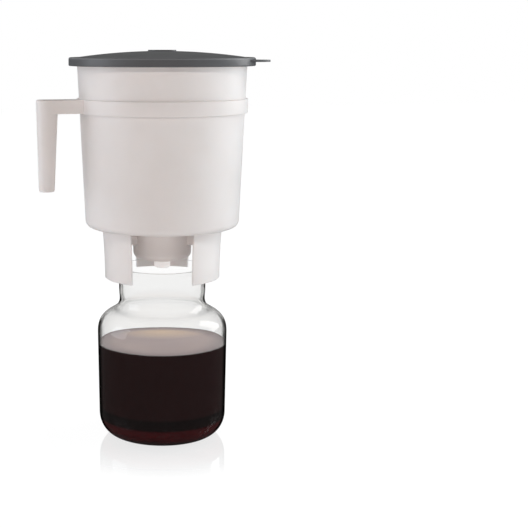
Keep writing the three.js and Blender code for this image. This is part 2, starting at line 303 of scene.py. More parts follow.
# Light, in strengths: the sky that lights the object, and the sky and floor that it reflects.
# The sky's ranges are heights of a direction. The floor's are metres from the axis: where its mirror image
# fades out, and where it gets as bright as the open floor.
SKY_LEFT = 0.06
SKY_RIGHT = 0.08
SKY_TOP = 0.05
GLOSSY_SKY = 0.24
GLOSSY_HORIZON_SHARE = 0.15
GLOSSY_FLOOR = 0.06
FLOOR_BOUNCE = 0.24
ZENITH_START = 0.1
ZENITH_END = 0.8
HORIZON_START = 0.08
HORIZON_END = 0.24
FLOOR_SIZE = 12
FLOOR_DROP = 0.0004
MIRROR_SHARE = 0.2
MIRROR_START = 0.065
MIRROR_END = 0.145
MIRROR_FADE = 1.8
DIP_SHARE = 0.94
DIP_START = 0.15
DIP_END = 0.5


# Outlines
def arc(centre, radii, start, end, steps=CORNER_STEPS):
    """Points of an elliptical arc, with its angles in degrees."""
    points = []
    for i in range(steps + 1):
        a = math.radians(start + (end - start) * i / steps)
        points.append((centre[0] + radii[0] * math.cos(a), centre[1] + radii[1] * math.sin(a)))
    return points


def bezier(p0, p1, p2, p3, steps):
    points = []
    for i in range(steps + 1):
        t = i / steps
        weights = ((1 - t) ** 3, 3 * t * (1 - t) ** 2, 3 * t * t * (1 - t), t ** 3)
        points.append(tuple(sum(w * p[k] for w, p in zip(weights, (p0, p1, p2, p3))) for k in (0, 1)))
    return points


def line(start, end, steps):
    return [(start[0] + (end[0] - start[0]) * i / steps, start[1] + (end[1] - start[1]) * i / steps)
            for i in range(steps + 1)]


def rounded(corners, closed=True, steps=CORNER_STEPS):
    """An outline through (x, z, radius) corners, each rounded to its radius."""
    points = []
    count = len(corners)
    for i, (x, z, radius) in enumerate(corners):
        here = Vector((x, z))
        if radius <= 0 or (not closed and i in (0, count - 1)):
            points.append((x, z))
            continue
        before = (Vector(corners[i - 1][:2]) - here).normalized()
        after = (Vector(corners[(i + 1) % count][:2]) - here).normalized()
        half = before.angle(after) / 2
        reach = radius / math.tan(half)
        centre = here + (before + after).normalized() * radius / math.sin(half)
        start = here + before * reach - centre
        turn = (here + after * reach - centre).angle_signed(start)
        for k in range(steps + 1):
            spoke = start.copy()
            spoke.rotate(Matrix.Rotation(turn * k / steps, 2))
            points.append(tuple(centre + spoke))
    return points


def inset(points, depth_at):
    """An open outline moved to its left, along its own normals, by a depth that depends on the height."""
    moved = []
    for i, (x, z) in enumerate(points):
        ahead = Vector(points[min(i + 1, len(points) - 1)])
        behind = Vector(points[max(i - 1, 0)])
        along = (ahead - behind).normalized()
        depth = depth_at(z)
        moved.append((x - along.y * depth, z + along.x * depth))
    return moved


# Meshes
def new_object(name, vertices, faces):
    """An object from points in millimetres."""
    mesh = bpy.data.meshes.new(name)
    mesh.from_pydata([tuple(c * MM for c in v) for v in vertices], [], faces)
    mesh.validate()
    made = bpy.data.objects.new(name, mesh)
    bpy.context.scene.collection.objects.link(made)
    return made


def tidy_mesh(made):
    """Merges what touches, turns every face outwards and shades it smooth up to the sharp angle."""
    edit = bmesh.new()
    edit.from_mesh(made.data)
    bmesh.ops.remove_doubles(edit, verts=edit.verts, dist=MERGE_DISTANCE * MM)
    bmesh.ops.dissolve_degenerate(edit, dist=MERGE_DISTANCE * MM, edges=edit.edges)
    bmesh.ops.recalc_face_normals(edit, faces=edit.faces)
    edit.to_mesh(made.data)
    edit.free()
    made.data.shade_smooth()
    made.data.set_sharp_from_angle(angle=SHARP_ANGLE)
    return made


def turned(name, outline, steps=ROUND_STEPS):
    """A body turned about Z. Outline points on the axis close it, and otherwise the outline joins up."""
    vertices, rings = [], []
    for r, z in outline:
        if r < 1e-6:
            rings.append([len(vertices)])
            vertices.append((0, 0, z))
            continue
        rings.append(list(range(len(vertices), len(vertices) + steps)))
        for i in range(steps):
            a = math.tau * i / steps
            vertices.append((r * math.cos(a), r * math.sin(a), z))
    faces = []
    on_axis = len(rings[0]) == 1
    pairs = list(zip(rings, rings[1:])) + ([] if on_axis else [(rings[-1], rings[0])])
    for lower, upper in pairs:
        for i in range(steps):
            j = (i + 1) % steps
            below = [lower[i % len(lower)], lower[j % len(lower)]]
            above = [upper[j % len(upper)], upper[i % len(upper)]]
            face = list(dict.fromkeys(below + above))
            if len(face) > 2:
                faces.append(face)
    return tidy_mesh(new_object(name, vertices, faces))


def swept_sector(name, outline, middle, spread, steps):
    """A closed outline turned through part of a circle, with flat ends."""
    vertices, faces = [], []
    count = len(outline)
    for i in range(steps + 1):
        a = math.radians(middle - spread / 2 + spread * i / steps)
        vertices += [(r * math.cos(a), r * math.sin(a), z) for r, z in outline]
    for i in range(steps):
        for k in range(count):
            n = (k + 1) % count
            faces.append([i * count + k, i * count + n, (i + 1) * count + n, (i + 1) * count + k])
    faces.append(list(range(count)))
    faces.append(list(range(steps * count, (steps + 1) * count)))
    return tidy_mesh(new_object(name, vertices, faces))


def prism(name, outline, start, end, place):
    """A flat outline between two depths. place turns (x, y, depth) into a point of the frame."""
    count = len(outline)
    vertices = [place(x, y, depth) for depth in (start, end) for x, y in outline]
    faces = [list(range(count)), list(range(count, 2 * count))]
    faces += [[k, (k + 1) % count, count + (k + 1) % count, count + k] for k in range(count)]
    return tidy_mesh(new_object(name, vertices, faces))


def about_z(degrees):
    """Places a plate that stands along a ray from the axis: x is the radius, y the height."""
    ray = Matrix.Rotation(math.radians(degrees), 3, "Z")
    return lambda x, y, depth: tuple(ray @ Vector((x, depth, y)))


def applied(made):
    """Applies the object's modifiers to its mesh."""
    graph = bpy.context.evaluated_depsgraph_get()
    mesh = bpy.data.meshes.new_from_object(made.evaluated_get(graph))
    made.modifiers.clear()
    made.data = mesh
    return made


def bevelled(made, width, segments=3, angle=40):
    """Rounds the edges that are sharper than an angle in degrees."""
    edge = made.modifiers.new("edge", "BEVEL")
    edge.width = width * MM
    edge.segments = segments
    edge.limit_method = "ANGLE"
    edge.angle_limit = math.radians(angle)
    edge.harden_normals = False
    return tidy_mesh(applied(made))


def joined(base, others):
    """Fuses solids into one closed surface, as one moulding is."""
    for other in others:
        union = base.modifiers.new("union", "BOOLEAN")
        union.operation = "UNION"
        union.solver = "EXACT"
        union.object = other
        applied(base)
        bpy.data.objects.remove(other)
    return tidy_mesh(base)


# Shader nodes
def put(tree, socket, value):
    """Links a socket to another one, or sets it. A colour is given as red, green and blue."""
    if isinstance(value, bpy.types.NodeSocket):
        tree.links.new(value, socket)
    elif socket.type == "RGBA":
        socket.default_value = (*value, 1)
    else:
        socket.default_value = value


def add(tree, kind, *inputs, **values):
    """A node. Its first inputs are given in their order, and its settings and other inputs by name."""
    node = tree.nodes.new(kind)
    for key, value in values.items():
        if hasattr(node, key):
            setattr(node, key, value)
        else:
            put(tree, node.inputs[key], value)
    for socket, value in zip(node.inputs, inputs):
        put(tree, socket, value)
    return node


def calculated(tree, operation, *inputs):
    return add(tree, "ShaderNodeMath", *inputs, operation=operation).outputs[0]


def coordinates(tree, kind="Object"):
    return add(tree, "ShaderNodeTexCoord").outputs[kind]


def upward(tree, vector):
    return add(tree, "ShaderNodeSeparateXYZ", vector).outputs["Z"]


def length(tree, vector):
    return add(tree, "ShaderNodeVectorMath", vector, operation="LENGTH").outputs["Value"]


def grain(tree, scale, detail=3.0, roughness=0.5):
    """Noise in the object's own coordinates, in waves per metre."""
    place = coordinates(tree)
    made = add(tree, "ShaderNodeTexNoise", place, Scale=scale, Detail=detail, Roughness=roughness)
    return made.outputs["Fac"]


def ranged(tree, source, start, end, first=0.0, last=1.0, smooth=True):
    """Maps a value from one range to another, and holds it at the ends."""
    kind = "SMOOTHSTEP" if smooth else "LINEAR"
    made = add(tree, "ShaderNodeMapRange", source, start, end, first, last, interpolation_type=kind)
    return made.outputs["Result"]


def from_grain(tree, source, first=0.0, last=1.0):
    """Spreads the middle of a noise, where nearly all of it lies, over a range."""
    return ranged(tree, source, 0.3, 0.7, first, last, smooth=False)


def blended(tree, share, first, second):
    """A colour between two, each of them a colour or a socket."""
    made = add(tree, "ShaderNodeMix", share, data_type="RGBA")
    put(tree, made.inputs[6], first)
    put(tree, made.inputs[7], second)
    return made.outputs[2]


def bumped(tree, height, distance):
    return add(tree, "ShaderNodeBump", Strength=1.0, Distance=distance, Height=height).outputs["Normal"]


def mixed(tree, share, first, second):
    return add(tree, "ShaderNodeMixShader", share, first, second).outputs[0]


def summed(tree, first, second):
    return add(tree, "ShaderNodeAddShader", first, second).outputs[0]


def by_ray(tree, lighting, reflected, seen):
    """One shader for the rays that light the object, one for its reflections, and one for the camera."""
    path = add(tree, "ShaderNodeLightPath")
    unseen = mixed(tree, path.outputs["Is Glossy Ray"], lighting, reflected)
    direct = calculated(tree, "MAXIMUM", path.outputs["Is Camera Ray"], path.outputs["Is Transmission Ray"])
    return mixed(tree, direct, unseen, seen)


def bare_tree(owner, shader):
    """The nodes of a material or world without the shader that it starts with."""
    owner.use_nodes = True
    tree = owner.node_tree
    tree.nodes.remove(tree.nodes[shader])
    return tree


def finished(name, inputs_of):
    """A material on the Principled shader. inputs_of gives the shader's inputs by name, for a tree."""
    made = bpy.data.materials.new(name)
    made.use_nodes = True
    tree = made.node_tree
    shader = tree.nodes["Principled BSDF"]
    for key, value in inputs_of(tree).items():
        put(tree, shader.inputs[key], value)
    return made


# Materials
def white_plastic(tree):
    cloudy = grain(tree, 18, 4)
    fine = grain(tree, 1400, 2)
    return {
        "Base Color": blended(tree, from_grain(tree, cloudy), (0.80, 0.757, 0.735), (0.84, 0.80, 0.782)),
        "Roughness": from_grain(tree, cloudy, 0.36, 0.46),
        "Subsurface Weight": 0.2,
        "Subsurface Radius": (1.0, 0.8, 0.7),
        "Subsurface Scale": 0.003,
        "Specular IOR Level": 0.4,
        "Normal": bumped(tree, fine, 0.00002),
    }


def lid_plastic(tree):
    """Dark grey plastic, with a painted highlight along the edge of the lid's top."""
    cloudy = grain(tree, 25, 4)
    fine = grain(tree, 2200, 2)
    tone = blended(tree, from_grain(tree, cloudy), (0.098, 0.100, 0.104), (0.113, 0.115, 0.120))
    height = upward(tree, coordinates(tree))
    rise = ranged(tree, height, (LID_RIM_Z - EDGE_HIGHLIGHT_START) * MM, (LID_RIM_Z - EDGE_HIGHLIGHT_FULL) * MM)
    fall = ranged(tree, height, (LID_RIM_Z - EDGE_HIGHLIGHT_FADE) * MM, (LID_RIM_Z - EDGE_HIGHLIGHT_END) * MM, 1.0, 0.0)
    # A paler band painted just under the rim's top edge: a painted highlight where that edge catches light.
    painted_highlight = calculated(tree, "MULTIPLY", rise, fall)
    return {
        "Base Color": blended(tree, painted_highlight, tone, (0.19, 0.193, 0.2)),
        "Roughness": from_grain(tree, cloudy, 0.32, 0.40),
        "Normal": bumped(tree, fine, 0.00004),
    }


def silicone(tree):
    cloudy = grain(tree, 120, 3)
    return {
        "Base Color": blended(tree, from_grain(tree, cloudy), (0.92, 0.90, 0.89), (0.95, 0.94, 0.93)),
        "Roughness": from_grain(tree, cloudy, 0.5, 0.62),
        "Subsurface Weight": 0.3,
        "Subsurface Radius": (1.0, 0.85, 0.8),
        "Subsurface Scale": 0.002,
        # A faint painted glow: the stopper is no lamp, and this emission stands in for light that brightens
        # it.
        "Emission Color": (1.0, 0.96, 0.94),
        "Emission Strength": 0.2,
        "Normal": bumped(tree, cloudy, 0.00003),
    }


def felt(tree):
    fibres = grain(tree, 1500, 8, 0.75)
    matted = grain(tree, 160, 5, 0.6)
    return {
        "Base Color": blended(tree, from_grain(tree, matted), (0.70, 0.66, 0.57), (0.84, 0.81, 0.74)),
        "Roughness": 0.95,
        "Sheen Weight": 0.4,
        "Sheen Roughness": 0.5,
        "Normal": bumped(tree, fibres, 0.0006),
    }


def clear_glass():
    """Clear glass. It darkens where an upright wall is seen edge on, and lets lamps shine through."""
    made = bpy.data.materials.new("glass")
    tree = bare_tree(made, "Principled BSDF")
    facing = add(tree, "ShaderNodeLayerWeight", Blend=0.5).outputs["Facing"]
    slope = calculated(tree, "ABSOLUTE", upward(tree, add(tree, "ShaderNodeNewGeometry").outputs["Normal"]))
    turned_away = ranged(tree, facing, DARK_START, DARK_FULL)
    upright = ranged(tree, slope, UPRIGHT_START, UPRIGHT_END, 1.0, 0.0)
    dark = calculated(tree, "MULTIPLY", turned_away, upright)
    height = upward(tree, coordinates(tree))
    neck = ranged(tree, height, PALE_START_Z * MM, PALE_NECK_Z * MM, 1.0, PALE_NECK_SHARE)
    rim = ranged(tree, height, CLEAR_START_Z * MM, CLEAR_RIM_Z * MM, 1.0, 0.0)
    edge_on = calculated(tree, "MULTIPLY", dark, calculated(tree, "MULTIPLY", rim, neck))
    tint = blended(tree, edge_on, (0.974, 0.974, 0.972), (0.06, 0.058, 0.055))
    gloss = blended(tree, edge_on, (0.85, 0.84, 0.83), (0.05, 0.047, 0.045))
    bent = add(tree, "ShaderNodeBsdfRefraction", IOR=1.5, Roughness=0.0, Color=tint)
    mirror = add(tree, "ShaderNodeBsdfGlossy", Roughness=0.0, Color=gloss)
    fresnel = add(tree, "ShaderNodeFresnel", IOR=1.5)
    body = mixed(tree, fresnel.outputs[0], bent.outputs[0], mirror.outputs[0])
    through = add(tree, "ShaderNodeBsdfTransparent", Color=(0.93, 0.93, 0.93))
    lamp_ray = add(tree, "ShaderNodeLightPath").outputs["Is Shadow Ray"]
    smoke = add(tree, "ShaderNodeVolumeAbsorption", Density=8.0, Color=(0.35, 0.35, 0.35))
    out = tree.nodes["Material Output"]
    put(tree, out.inputs["Surface"], mixed(tree, lamp_ray, body, through.outputs[0]))
    put(tree, out.inputs["Volume"], smoke.outputs[0])
    return made


def dark_coffee(tree):
    """Nearly black red-brown coffee, with a painted red glow low down that stands for light coming through
    the flat base.
    """
    height = upward(tree, coordinates(tree))
    share = ranged(tree, height, GLASS_BASE * MM, COFFEE_TONES_Z * MM, smooth=False)
    depth = add(tree, "ShaderNodeValToRGB", share)
    depth.color_ramp.interpolation = "EASE"
    stops = depth.color_ramp.elements
    for at, _ in COFFEE_TONES[1:-1]:
        stops.new(at)
    for stop, (at, tone) in zip(stops, COFFEE_TONES):
        stop.color = (*tone, 1)
    return {"Base Color": depth.outputs["Color"], "Roughness": 0.04, "IOR": 1.12}


def coffee_top(tree):
    """The coffee's top: a pale painted reflection that varies at random, a warmer patch of painted
    reflection, and painted shade towards the glass.
    """
    # The pale tone is painted reflection of the bright things over the coffee, varied at random.
    swirl = grain(tree, 14, 4, 0.5)
    tone = blended(tree, from_grain(tree, swirl), (0.27, 0.19, 0.18), (0.32, 0.23, 0.21))
    place = coordinates(tree)
    turn = (0, 0, math.radians(VIEW_AZIMUTH))
    # A warmer patch of painted reflection on the top.
    spot = add(tree, "ShaderNodeMapping", place, REFLECTION_PATCH_CENTRE, turn, REFLECTION_PATCH_SIZE, vector_type="TEXTURE")
    painted_reflection_patch = add(tree, "ShaderNodeTexGradient", spot.outputs["Vector"], gradient_type="SPHERICAL")
    warm = blended(tree, painted_reflection_patch.outputs["Fac"], tone, (0.52, 0.35, 0.20))
    # Painted shade: the top darkens towards the glass.
    flat = add(tree, "ShaderNodeVectorMath", place, (1, 1, 0), operation="MULTIPLY")
    near_glass = ranged(tree, length(tree, flat.outputs["Vector"]), SHADE_START_R * MM, SHADE_FULL_R * MM)
    return {
        "Base Color": blended(tree, near_glass, warm, (0.18, 0.12, 0.115)),
        "Roughness": 0.26,
        "IOR": 1.34,
    }


MATERIALS = {
    "white_plastic": finished("white_plastic", white_plastic),
    "lid_plastic": finished("lid_plastic", lid_plastic),
    "silicone": finished("silicone", silicone),
    "felt": finished("felt", felt),
    "glass": clear_glass(),
    "coffee": finished("coffee", dark_coffee),
}


def dressed(made, body, slot, *nodes):
    """Gives a piece its finish, ties it to its body, and hides the frame's nodes that it stands for."""
    made.data.materials.clear()
    made.data.materials.append(MATERIALS[slot])
    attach(made, body)
    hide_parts(*nodes)
    return made


# Container
def cup_radius(z):
    slope = (CUP_MOUTH_R - CUP_FOOT_R) / (CUP_RIM_Z - UNDERSIDE_Z)
    return CUP_FOOT_R + slope * (z - UNDERSIDE_Z)


def container_shell():
    """The cup and the filter cup under it, as one turned wall with the band and the flange."""
    band_top = CUP_RIM_Z - BAND_DROP
    band_foot = band_top - BAND_HEIGHT
    band_r = cup_radius(band_top) + BAND_PROUD
    foot_r = FILTER_CUP_R - FILTER_DRAFT
    bore_r = FILTER_CUP_R - FILTER_WALL
    floor_z = UNDERSIDE_Z + CUP_FLOOR
    flange_z = CUP_RIM_Z - FLANGE_DEPTH
    sweep_z = flange_z - FLANGE_SWEEP
    inside_z = FILTER_CUP_Z + FILTER_FLOOR
    corners = [
        (DRAIN_R, FILTER_CUP_Z, DRAIN_EDGE),
        (foot_r, FILTER_CUP_Z, FILTER_FOOT_ROUND),
        (FILTER_CUP_R, UNDERSIDE_Z, FILTER_ROOT_FILLET),
        (cup_radius(UNDERSIDE_Z), UNDERSIDE_Z, CUP_HEEL_ROUND),
        (cup_radius(band_foot), band_foot, BAND_FOOT_FILLET),
        (band_r, band_foot, BAND_FOOT_EDGE),
        (band_r, band_top, BAND_TOP_EDGE),
        (cup_radius(band_top), band_top, BAND_TOP_FILLET),
        (cup_radius(sweep_z), sweep_z, FLANGE_SWEEP),
        (CUP_MOUTH_R + FLANGE_SWEEP, flange_z, FLANGE_EDGE),
        (FLANGE_R, flange_z, FLANGE_EDGE),
        (FLANGE_R, CUP_RIM_Z, CUP_RIM_EDGE),
        (CUP_MOUTH_R - CUP_WALL, CUP_RIM_Z, CUP_MOUTH_EDGE),
        (cup_radius(floor_z) - CUP_WALL, floor_z, CUP_FLOOR_ROUND),
        (bore_r, floor_z, FILTER_MOUTH_EDGE),
        (foot_r - FILTER_WALL, inside_z, FILTER_FLOOR_ROUND),
        (DRAIN_R, inside_z, DRAIN_EDGE),
    ]
    return turned("container", rounded(corners))


def leg_outline():
    """A leg's wall, seen from its side: a rounded foot, and a flare that widens upwards."""
    land_z = LEG_FOOT_Z + LEG_LAND
    rise = UNDERSIDE_Z + ROOT_OVERLAP - land_z
    outside = []
    for i in range(LEG_FLARE_STEPS + 1):
        t = i / LEG_FLARE_STEPS
        outside.append((LEG_FOOT_R + LEG_FLARE * t * t, land_z + rise * t))
    above = LEG_FOOT_Z + 2 * LEG_LAND
    foot = rounded([
        (LEG_FOOT_R - LEG_WALL, above, 0),
        (LEG_FOOT_R - LEG_WALL, LEG_FOOT_Z, LEG_INNER_EDGE),
        (LEG_FOOT_R, LEG_FOOT_Z, LEG_OUTER_EDGE),
        (LEG_FOOT_R, above, 0),
    ], closed=False)
    inside = [(r - LEG_WALL, z) for r, z in reversed(outside)]
    return foot[1:-1] + outside[1:] + inside[:-1]


def collar_leg(angle):
    leg = swept_sector("leg", leg_outline(), angle, LEG_SPREAD, LEG_STEPS)
    return bevelled(leg, LEG_SIDE_EDGE, angle=LEG_SIDE_ANGLE)


def seat_rib(angle):
    """The rib inside a leg, which steps out round the decanter's lip."""
    top = UNDERSIDE_Z + ROOT_OVERLAP
    seat = RIM_Z + SEAT_GAP
    foot = RIM_Z - RIB_HANG
    start = NECK_R - RIB_INSET
    root_r = FILTER_CUP_R - ROOT_OVERLAP
    rib_r = NECK_R + NECK_FLARE + LIP_BULGE + RIB_PAST_LIP
    outline = [
        (root_r, top),
        (root_r, UNDERSIDE_Z - HAUNCH_TOP_DROP),
        (start - HAUNCH_RUN, UNDERSIDE_Z - HAUNCH_TOP_DROP),
        (start, UNDERSIDE_Z - HAUNCH_FOOT_DROP),
        (start, seat),
        (rib_r, seat),
        (rib_r, foot),
        (LEG_FOOT_R - RIB_IN_LEG, foot),
        (LEG_FOOT_R + LEG_FLARE - RIB_IN_LEG, top),
    ]
    rib = prism("rib", outline, -RIB_THICKNESS / 2, RIB_THICKNESS / 2, about_z(angle))
    return bevelled(rib, RIB_EDGE, 2)


def pad_rib(angle):
    """A low rib on the filter cup's floor, which holds the pad off it."""
    floor_z = FILTER_CUP_Z + FILTER_FLOOR
    start = DRAIN_R + PAD_RIB_END_GAP
    end = FILTER_CUP_R - FILTER_DRAFT - FILTER_WALL - PAD_RIB_END_GAP
    outline = rounded([
        (start, floor_z - ROOT_OVERLAP, 0),
        (end, floor_z - ROOT_OVERLAP, 0),
        (end, floor_z + PAD_RIB_HEIGHT, PAD_RIB_EDGE),
        (start, floor_z + PAD_RIB_HEIGHT, PAD_RIB_EDGE),
    ])
    return prism("pad_rib", outline, -PAD_RIB_THICKNESS / 2, PAD_RIB_THICKNESS / 2, about_z(angle))


def handle_arm():
    """A drafted bar from inside the band to inside the grip."""
    top = HANDLE_TOP_Z - ARM_SINK
    foot = top - ARM_HEIGHT
    root_x = ARM_IN_BAND - cup_radius(HANDLE_TOP_Z)
    end_x = HANDLE_END_X + GRIP_TOP_R
    vertices = []
    for x in (root_x, end_x):
        for z, half in ((foot, GRIP_TOP_R - ARM_FOOT_INSET), (top, GRIP_TOP_R - ARM_TOP_INSET)):
            vertices += [(x, -half, z), (x, half, z)]
    faces = [[0, 1, 3, 2], [4, 5, 7, 6], [0, 1, 5, 4], [2, 3, 7, 6], [0, 2, 6, 4], [1, 3, 7, 5]]
    return bevelled(tidy_mesh(new_object("arm", vertices, faces)), ARM_EDGE, 4)


def handle_grip():
    """A tapered round grip that leans a little as it hangs from the arm's end."""
    drop = HANDLE_TOP_Z - GRIP_FOOT_Z
    outline = rounded([
        (0, GRIP_FOOT_Z, 0),
        (GRIP_FOOT_R, GRIP_FOOT_Z, GRIP_FOOT_EDGE),
        (GRIP_TOP_R, HANDLE_TOP_Z, GRIP_TOP_EDGE),
        (0, HANDLE_TOP_Z, 0),
    ], closed=False)
    grip = turned("grip", outline, SMALL_STEPS)
    for vertex in grip.data.vertices:
        depth = HANDLE_TOP_Z - vertex.co.z / MM
        vertex.co.x += (HANDLE_END_X + GRIP_TOP_R - GRIP_LEAN * depth / drop) * MM
    return grip


def build_container():
    shell = container_shell()
    parts = [collar_leg(angle) for angle in LEG_ANGLES]
    parts += [seat_rib(angle) for angle in LEG_ANGLES]
    parts += [pad_rib(360 / PAD_RIB_COUNT * i) for i in range(PAD_RIB_COUNT)]
    parts += [handle_arm(), handle_grip()]
    container = joined(shell, parts)
    dressed(container, "container", "white_plastic",
            "brewing_cup", "filter_cup", "handle", "collar_leg_1", "collar_leg_2", "collar_leg_3")


# Lid
def lid_shell():
    """The domed lid with its raised disc and its skirt, as one turned wall."""
    dome_r = LID_R - LID_RIM_WIDTH
    crown = LID_RIM_Z + DOME_RISE
    steps = range(1, DOME_STEPS + 1)
    dome = [(dome_r * i / DOME_STEPS, crown - DOME_RISE * (i / DOME_STEPS) ** 2) for i in steps]
    disc = rounded([
        (0, LID_TOP_Z, 0),
        (DISC_R, LID_TOP_Z, DISC_EDGE),
        (DISC_R, crown - DISC_FOOT_DROP, DISC_FILLET),
        (DISC_R + DISC_BLEND_RUN, crown - DISC_BLEND_DROP, 0),
    ], closed=False, steps=4)[:-1]
    skirt = rounded([
        (dome_r, LID_RIM_Z, 0),
        (LID_R, LID_RIM_Z, LID_TOP_EDGE),
        (LID_R, LID_FOOT_Z, LID_FOOT_EDGE),
        (LID_R - LID_WALL, LID_FOOT_Z, LID_MOUTH_EDGE),
        (LID_R - LID_WALL, LID_RIM_Z - LID_WALL, LID_INNER_ROUND),
        (dome_r, LID_RIM_Z - LID_WALL, 0),
    ], closed=False)
    outside = disc + [point for point in dome if point[0] > DISC_R + DISC_CLEAR]
    inside = [(r, z - LID_WALL) for r, z in reversed(dome)][1:]
    return turned("lid", outside[:-1] + skirt + inside + [(0, crown - LID_WALL)])


def lid_tab():
    """A rounded tongue that stands out from the skirt."""
    root_r = LID_R - LID_WALL / 2
    root_x = math.sqrt(root_r ** 2 - (TAB_ROOT / 2) ** 2)
    tip = LID_R + TAB_REACH
    half = bezier((root_x, -TAB_ROOT / 2), (root_r, -TAB_ROOT / 2), (tip, -TAB_TIP / 2), (tip, 0), 24)
    plan = half + [(x, -y) for x, y in reversed(half[:-1])] + [(root_r, 0)]
    middle = LID_RIM_Z - TAB_DROP
    turn = Matrix.Rotation(math.radians(TAB_ANGLE), 3, "Z")
    tab = prism("tab", plan, middle - TAB_THICKNESS / 2, middle + TAB_THICKNESS / 2,
                lambda x, y, z: tuple(turn @ Vector((x, y, z))))
    return bevelled(tab, TAB_EDGE)


def build_lid():
    dressed(joined(lid_shell(), [lid_tab()]), "lid", "lid_plastic", "lid")


# Stopper and felt pad
def build_stopper():
    head_top = FILTER_CUP_Z - SEAT_GAP
    groove_r = STOPPER_R - GROOVE_DEPTH
    plug_r = DRAIN_R - SEAT_GAP
    outline = rounded([
        (0, STOPPER_FOOT_Z, 0),
        (STOPPER_R - STOPPER_DRAFT, STOPPER_FOOT_Z, STOPPER_FOOT_ROUND),
        (STOPPER_R, head_top - GROOVE_FOOT_DROP, GROOVE_FOOT_EDGE),
        (groove_r, head_top - GROOVE_FLOOR_DROP, STOPPER_EDGE),
        (groove_r, head_top - GROOVE_CEILING_DROP, STOPPER_EDGE),
        (STOPPER_R, head_top - GROOVE_TOP_DROP, STOPPER_EDGE),
        (STOPPER_R, head_top, STOPPER_EDGE),
        (plug_r, head_top, PLUG_ROOT_FILLET),
        (plug_r - PLUG_TAPER, STOPPER_TOP_Z, PLUG_EDGE),
        (0, STOPPER_TOP_Z, 0),
    ], closed=False)
    dressed(turned("stopper_silicone", outline, SMALL_STEPS), "stopper", "silicone", "stopper")


def build_pad():
    """A thick felt disc with soft edges and a matted, slightly uneven surface."""
    top = PAD_TOP_Z - PAD_ROOM
    foot = PAD_FOOT_Z + PAD_ROOM
    edge = PAD_R - PAD_ROOM
    corners = [(0, foot, 0), (edge, foot, PAD_EDGE), (edge, top, PAD_EDGE), (0, top, 0)]
    side = rounded(corners, closed=False, steps=PAD_EDGE_STEPS)
    outline = line(side[0], side[1], PAD_RINGS)[:-1] + side[1:-1]
    outline += line(side[-2], side[-1], PAD_RINGS)[1:]
    pad = turned("filter_felt", outline, SMALL_STEPS)
    for vertex in pad.data.vertices:
        lift = noise.fractal(vertex.co * FELT_WAVES, 1.0, 2.0, 4) * FELT_LIFT * MM
        vertex.co += vertex.normal * max(FELT_DEEPEST * MM, min(FELT_HIGHEST * MM, lift))
    pad.data.update()
    dressed(pad, "felt_pad", "felt", "felt_pad")


# Decanter and coffee
def glass_outside():
    """The decanter's outer outline, from the axis out along the base and up to the lip."""
    neck_z = SHOULDER_Z + SHOULDER_RISE
    flared = NECK_R + NECK_FLARE
    base_r = HEEL_R - HEEL_RUN
    points = line((0, 0), (base_r, 0), 6)[:-1]
    points += arc((base_r, HEEL_RISE), (HEEL_RUN, HEEL_RISE), -90, 0, 28)
    points += line((HEEL_R, HEEL_RISE), (BODY_R, SHOULDER_Z), 12)[1:-1]
    points += bezier((BODY_R, SHOULDER_Z), (BODY_R, SHOULDER_Z + SHOULDER_CROWN),
                     (NECK_R, neck_z - NECK_FILLET), (NECK_R, neck_z), 48)
    points += bezier((NECK_R, neck_z), (NECK_R, neck_z + FLARE_START),
                     (flared, neck_z + FLARE_EASE), (flared, neck_z + FLARE_END), 12)[1:]
    points += [(flared, RIM_Z - LIP_HEIGHT)]
    return points


def wall_at(z):
    """The glass wall's thickness at a height, eased from one knot to the next."""
    for (z0, w0), (z1, w1) in zip(WALL_KNOTS, WALL_KNOTS[1:]):
        if z <= z1:
            t = max(0, (z - z0) / (z1 - z0))
            return w0 + (w1 - w0) * t * t * (3 - 2 * t)
    return RIM_WALL


def build_decanter():
    side = glass_outside()
    round_r = RIM_WALL / 2
    lip = arc((NECK_R + NECK_FLARE - round_r, RIM_Z - round_r), (round_r, round_r), 0, 180, 16)
    inner = [(max(r, 0), max(z, GLASS_BASE)) for r, z in inset(side, wall_at)]
    outline = side + lip + [(r, z) for r, z in reversed(inner[1:])] + [(0, GLASS_BASE)]
    dressed(turned("decanter_glass", outline), "decanter", "glass", "decanter")


def build_coffee():
    """The coffee, which wets the glass and climbs it a little at its edge."""
    foot_z = GLASS_BASE - COFFEE_WETTING
    surface_z = COFFEE_Z - COFFEE_CLIMB
    wetted = inset(glass_outside(), lambda z: wall_at(z) - COFFEE_WETTING)
    side = [(r, max(z, foot_z)) for r, z in wetted if r > 0 and z < COFFEE_Z - CLIMB_ROOM]
    edge_r = side[-1][0]
    runs = [CLIMB_RUN * i / CLIMB_STEPS for i in range(CLIMB_STEPS + 1)]
    edge = [(edge_r - run, surface_z + COFFEE_CLIMB * math.exp(-run)) for run in runs]
    surface = [(edge_r * i / SURFACE_RINGS, surface_z) for i in range(SURFACE_RINGS - 2, -1, -1)]
    coffee = turned("coffee_fill", [(0, foot_z)] + side + edge + surface)
    dressed(coffee, "decanter", "coffee", "coffee")
    coffee.data.materials.append(finished("coffee_top", coffee_top))
    for face in coffee.data.polygons:
        if face.normal.z > 0.5 and face.center.z > (surface_z - TOP_FACE_DEPTH) * MM:
            face.material_index = 1


